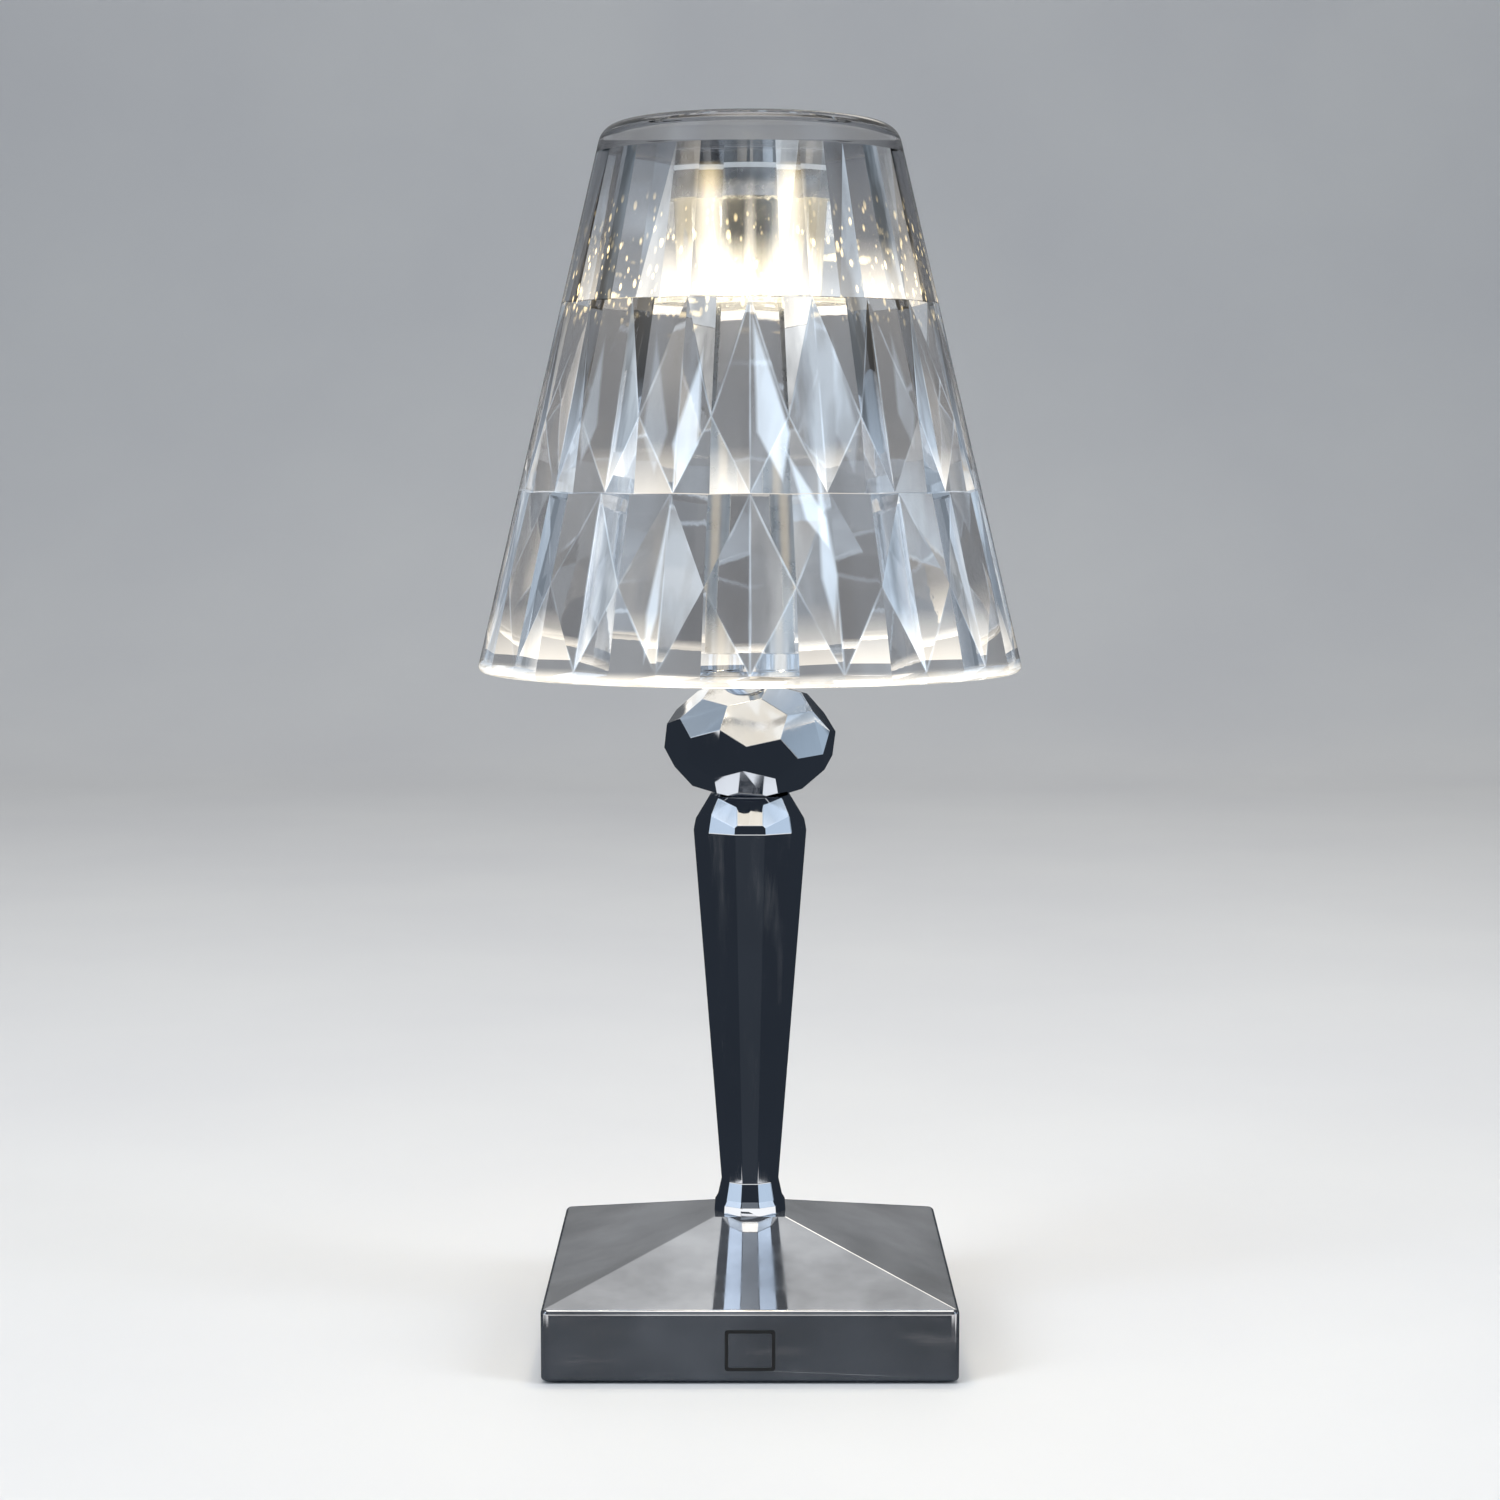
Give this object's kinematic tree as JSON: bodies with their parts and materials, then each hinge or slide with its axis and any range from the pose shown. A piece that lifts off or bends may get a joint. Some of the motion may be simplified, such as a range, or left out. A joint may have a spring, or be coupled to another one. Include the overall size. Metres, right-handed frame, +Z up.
{
  "type": "cordless table lamp",
  "caption": "small cordless table lamp: clear conical shade with cut facets, chromed faceted ball and tapered stem, square pyramid base with a front push button",
  "frame": {"origin": "centre of the underside, on the plane the rubber feet stand on", "axes": "+Z up along the stem, -Y out of the front wall that carries the power button, +X to the right seen from the front"},
  "size_m": [0.1122, 0.1122, 0.25],
  "materials": {
    "clear_acrylic": "clear polished acrylic, cut facets inside",
    "clear_lens": "clear polycarbonate, faintly frosted",
    "clear_silicone": "translucent silicone",
    "chrome": "bright chrome plating, faceted",
    "base_chrome": "chrome plating with fine hand marks",
    "turned_aluminium": "lathe-turned, bead blasted",
    "led_white": "yellow phosphor under clear resin",
    "white_board": "white solder mask",
    "green_board": "green solder mask",
    "steel": "zinc-plated steel",
    "weight_steel": "black-oxide steel plate",
    "black_plastic": "moulded, fine texture",
    "cover_plastic": "dark grey moulded plastic, fine texture",
    "black_rubber": "soft black rubber",
    "battery_wrap": "blue shrink wrap",
    "foam": "closed-cell foam tape",
    "wire_jacket": "soft wire insulation",
    "silver_wire": "tinned wire in clear sleeving",
    "can_aluminium": "sleeved capacitor can",
    "ferrite": "moulded ferrite"
  },
  "bodies": {
    "lamp": {"shade_seat_ring": "clear_silicone", "heat_sink": "turned_aluminium", "led_board": "white_board", "led_chips": "led_white", "led_optics": "clear_lens", "head_screws": "steel", "lens_cup": "clear_lens", "inner_tube": "steel", "lamp_lead": "silver_wire", "ball_collar": "chrome", "faceted_ball": "chrome", "stem_column": "chrome", "tie_rod": "steel", "tie_nut": "steel", "tie_washer": "steel", "base_shell": "base_chrome", "bottom_cover": "cover_plastic", "cover_screws": "steel", "rubber_feet": "black_rubber", "counterweight": "weight_steel", "counterweight_screws": "steel", "battery_pack": "battery_wrap", "battery_pad": "foam", "battery_lead": "wire_jacket", "battery_connector": "black_plastic", "circuit_board": "green_board", "board_screws": "steel", "driver_chip": "black_plastic", "inductor": "ferrite", "capacitors": "can_aluminium", "tact_switch": "black_plastic", "socket_board": "green_board", "charge_socket": "steel", "charge_lead": "wire_jacket", "socket_screws": "steel", "port_hinge_pin": "steel", "button_seal": "black_rubber"},
    "shade": {"shade": "clear_acrylic"},
    "button": {"power_button": "base_chrome", "switch_plunger": "black_plastic"},
    "port_cover": {"port_cover": "black_rubber"}
  },
  "joints": [
    {"name": "button_press", "type": "slide", "parent": "lamp", "child": "button", "axis": [0, 1, 0], "range_m": [0, 0.0006], "stiffness_N_per_m": 1500},
    {"name": "shade_lift", "type": "slide", "parent": "lamp", "child": "shade", "axis": [0, 0, 1], "range_m": [0, 0.12]},
    {"name": "port_cover_swing", "type": "hinge", "parent": "lamp", "child": "port_cover", "pos_m": [0, 0.0403, 0.011], "axis": [1, 0, 0], "range_deg": [0, 90]}
  ]
}
